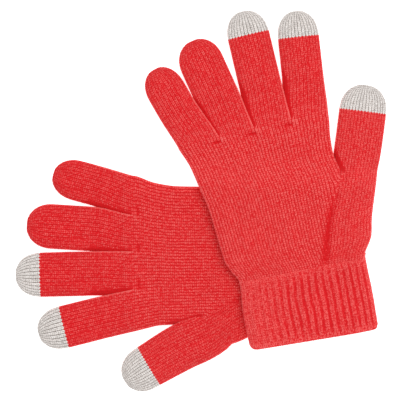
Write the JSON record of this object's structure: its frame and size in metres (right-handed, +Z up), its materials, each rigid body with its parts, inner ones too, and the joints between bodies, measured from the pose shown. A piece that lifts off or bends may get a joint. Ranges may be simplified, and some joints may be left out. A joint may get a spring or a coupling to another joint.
{
  "type": "touchscreen gloves",
  "caption": "Pair of stretch-knit gloves lying flat, one across the other, with ribbed cuffs and conductive fingertips on thumb, index and middle finger.",
  "frame": {"origin": "on the surface that the pair lies on, under the middle of the pair", "axes": "+Z up out of that surface, towards the viewer; +Y the way the upper glove points its fingers, +X to the side of its thumb; the lower glove points its fingers along -X"},
  "size_m": [0.2302, 0.2356, 0.0156],
  "materials": {
    "red_knit": "matte plain-knit acrylic and elastane yarn, red",
    "conductive_knit": "matte plain-knit conductive yarn, pale grey",
    "elastic_thread": "matte covered rubber thread"
  },
  "bodies": {
    "lower_glove": {"lower_hand_back": "red_knit", "lower_hand_palm": "red_knit", "lower_thumb_root": "red_knit", "lower_cuff_back": "red_knit", "lower_cuff_palm": "red_knit", "lower_cuff_elastic": "elastic_thread", "lower_cuff_hem": "red_knit"},
    "lower_knuckles": {"lower_finger_roots": "red_knit"},
    "lower_index": {"lower_index_finger": "red_knit", "lower_index_touch_tip": "conductive_knit"},
    "lower_middle": {"lower_middle_finger": "red_knit", "lower_middle_touch_tip": "conductive_knit"},
    "lower_ring": {"lower_ring_finger": "red_knit"},
    "lower_little": {"lower_little_finger": "red_knit"},
    "lower_thumb": {"lower_thumb": "red_knit", "lower_thumb_touch_tip": "conductive_knit"},
    "upper_glove": {"upper_hand_back": "red_knit", "upper_hand_palm": "red_knit", "upper_thumb_root": "red_knit"},
    "upper_cuff": {"upper_cuff_back": "red_knit", "upper_cuff_palm": "red_knit", "upper_cuff_elastic": "elastic_thread", "upper_cuff_hem": "red_knit"},
    "upper_knuckles": {"upper_finger_roots": "red_knit"},
    "upper_index": {"upper_index_finger": "red_knit", "upper_index_touch_tip": "conductive_knit"},
    "upper_middle": {"upper_middle_finger": "red_knit", "upper_middle_touch_tip": "conductive_knit"},
    "upper_ring": {"upper_ring_finger": "red_knit"},
    "upper_little": {"upper_little_finger": "red_knit"},
    "upper_thumb": {"upper_thumb": "red_knit", "upper_thumb_touch_tip": "conductive_knit"}
  },
  "joints": [
    {"name": "glove_lift", "type": "slide", "parent": "lower_glove", "child": "upper_glove", "axis": [0, 0, 1], "range_m": [0, 0.12]},
    {"name": "lower_knuckle_fold", "type": "hinge", "parent": "lower_glove", "child": "lower_knuckles", "pos_m": [-0.03892, -0.02936, 0.0078], "axis": [-0.0175, 0.9998, 0], "range_deg": [0, 90]},
    {"name": "lower_little_fold", "type": "hinge", "parent": "lower_knuckles", "child": "lower_little", "pos_m": [-0.05997, 0.00763, 0.0066], "axis": [0.1671, 0.9859, 0], "range_deg": [0, 90]},
    {"name": "lower_ring_fold", "type": "hinge", "parent": "lower_knuckles", "child": "lower_ring", "pos_m": [-0.0626, -0.01917, 0.0066], "axis": [0.0327, 0.9995, 0], "range_deg": [0, 90]},
    {"name": "lower_middle_fold", "type": "hinge", "parent": "lower_knuckles", "child": "lower_middle", "pos_m": [-0.06252, -0.04662, 0.0066], "axis": [-0.0397, 0.9992, 0], "range_deg": [0, 90]},
    {"name": "lower_index_fold", "type": "hinge", "parent": "lower_knuckles", "child": "lower_index", "pos_m": [-0.05877, -0.07291, 0.0066], "axis": [-0.2443, 0.9697, 0], "range_deg": [0, 90]},
    {"name": "lower_thumb_fold", "type": "hinge", "parent": "lower_glove", "child": "lower_thumb", "pos_m": [-0.00938, -0.0889, 0.0066], "axis": [-0.536, 0.8442, 0], "range_deg": [0, 45]},
    {"name": "upper_knuckle_fold", "type": "hinge", "parent": "upper_glove", "child": "upper_knuckles", "pos_m": [0.03142, 0.04138, 0.0078], "axis": [0.972, 0.235, 0], "range_deg": [0, 90]},
    {"name": "upper_little_fold", "type": "hinge", "parent": "upper_knuckles", "child": "upper_little", "pos_m": [-0.01401, 0.05421, 0.0066], "axis": [0.8765, 0.4815, 0], "range_deg": [0, 90]},
    {"name": "upper_ring_fold", "type": "hinge", "parent": "upper_knuckles", "child": "upper_ring", "pos_m": [0.00942, 0.06538, 0.0066], "axis": [0.9229, 0.3851, 0], "range_deg": [0, 90]},
    {"name": "upper_middle_fold", "type": "hinge", "parent": "upper_knuckles", "child": "upper_middle", "pos_m": [0.036, 0.07371, 0.0066], "axis": [0.9776, 0.2106, 0], "range_deg": [0, 90]},
    {"name": "upper_index_fold", "type": "hinge", "parent": "upper_knuckles", "child": "upper_index", "pos_m": [0.06278, 0.07787, 0.0066], "axis": [0.9958, 0.0919, 0], "range_deg": [0, 90]},
    {"name": "upper_thumb_fold", "type": "hinge", "parent": "upper_glove", "child": "upper_thumb", "pos_m": [0.0973, 0.02824, 0.0066], "axis": [0.9904, -0.1383, 0], "range_deg": [0, 45]},
    {"name": "upper_cuff_fold", "type": "hinge", "parent": "upper_glove", "child": "upper_cuff", "pos_m": [0.0629, -0.04329, 0.0158], "axis": [-0.9813, -0.1926, 0], "range_deg": [0, 150]}
  ]
}
